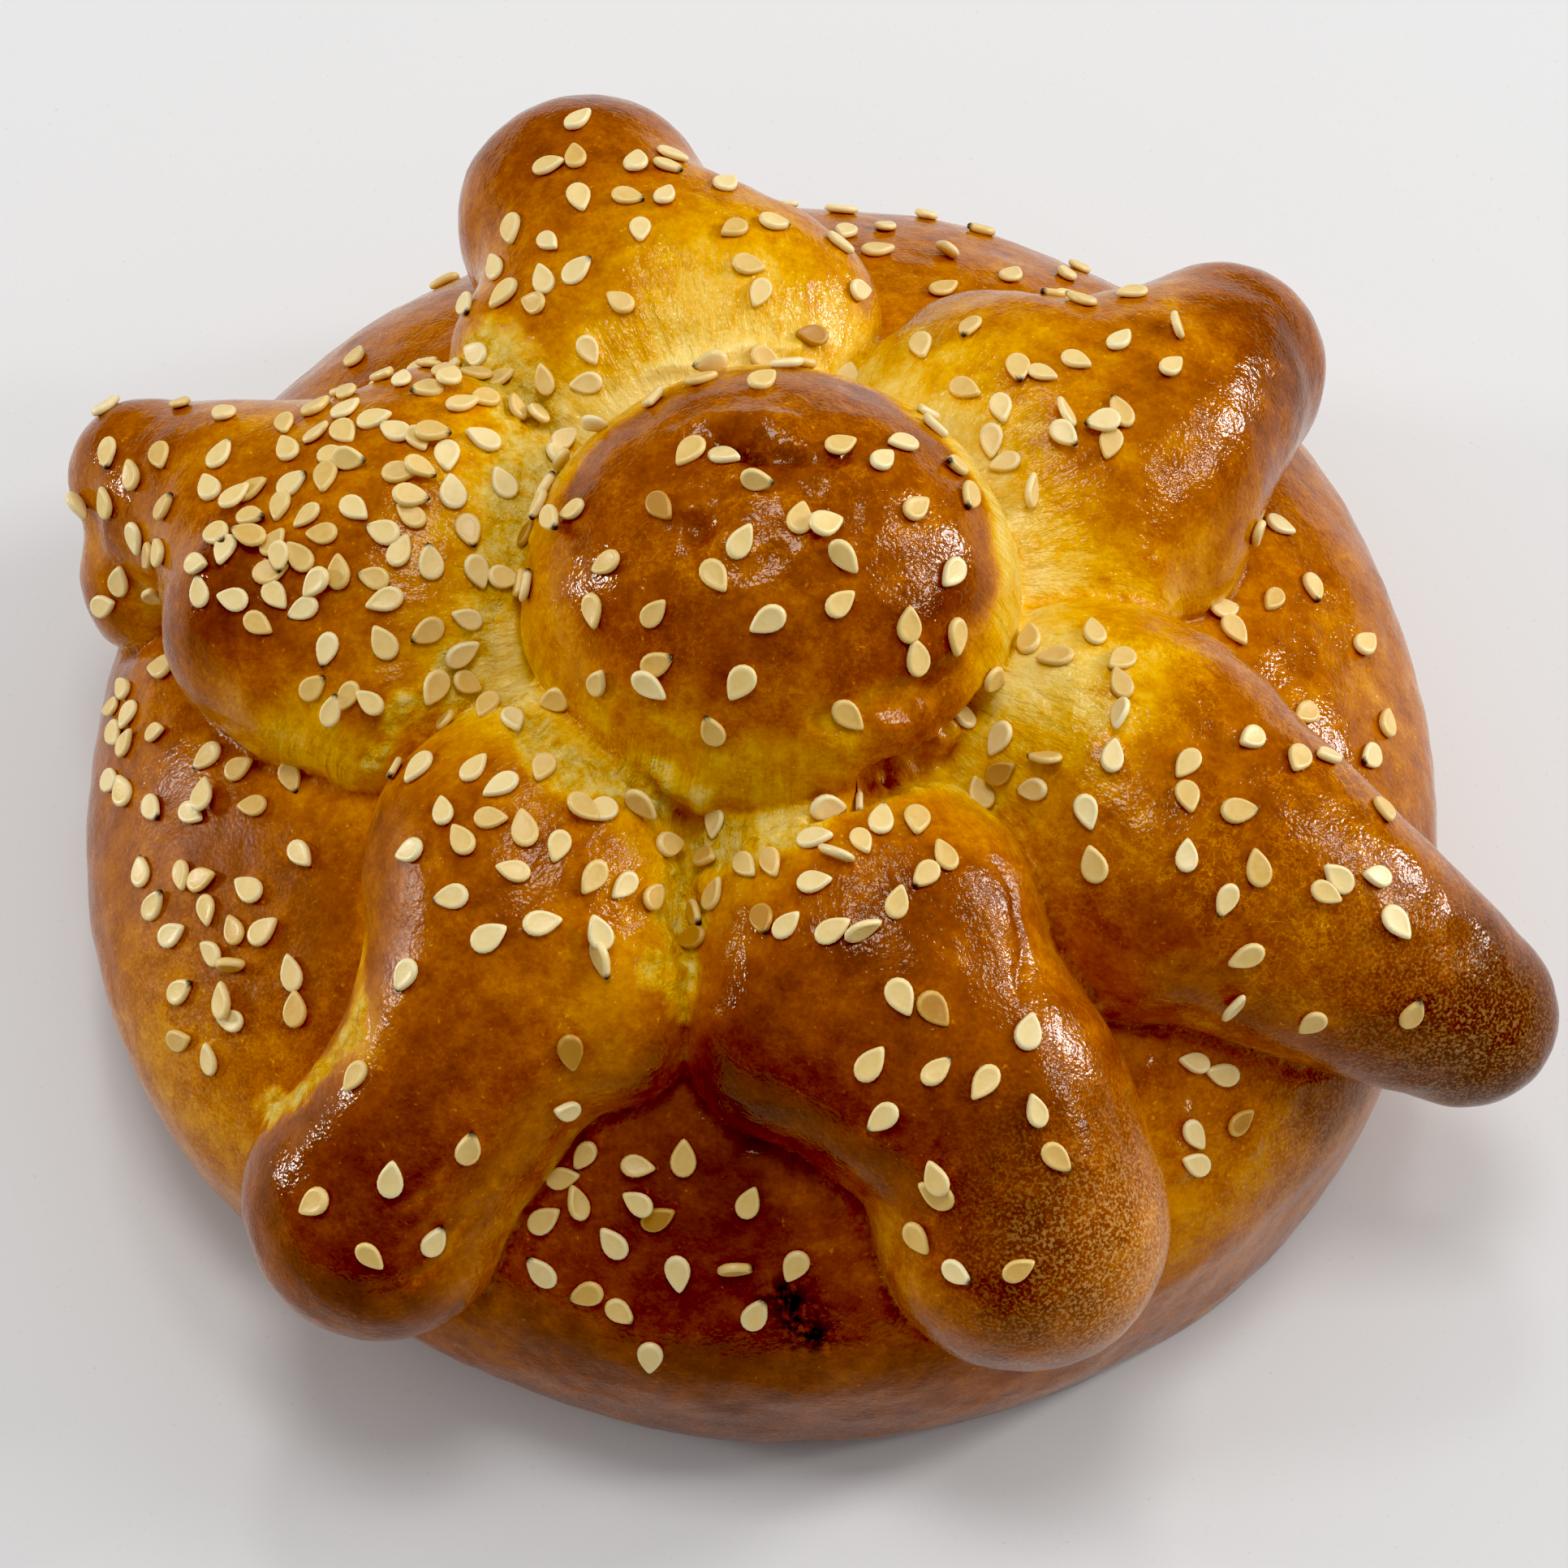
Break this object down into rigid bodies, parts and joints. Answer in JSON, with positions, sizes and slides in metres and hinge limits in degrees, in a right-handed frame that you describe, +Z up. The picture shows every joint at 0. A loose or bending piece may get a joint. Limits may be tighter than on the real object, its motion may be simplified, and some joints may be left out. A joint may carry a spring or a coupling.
{
  "type": "sesame butter bun",
  "caption": "Round sweet bread bun with drooping dough bones laid crosswise on top, a dough ball where they cross, and scattered sesame seeds.",
  "frame": {"origin": "middle of the loaf's flat underside, which rests on the table", "axes": "+Z up through the loaf, -Y towards the front, where two arms droop, +X towards the longest arm"},
  "size_m": [0.1323, 0.1254, 0.0715],
  "materials": {
    "crust": "egg-washed baked crust, golden brown, satin"
  },
  "bodies": {
    "root": {"bun": "crust"}
  },
  "joints": []
}
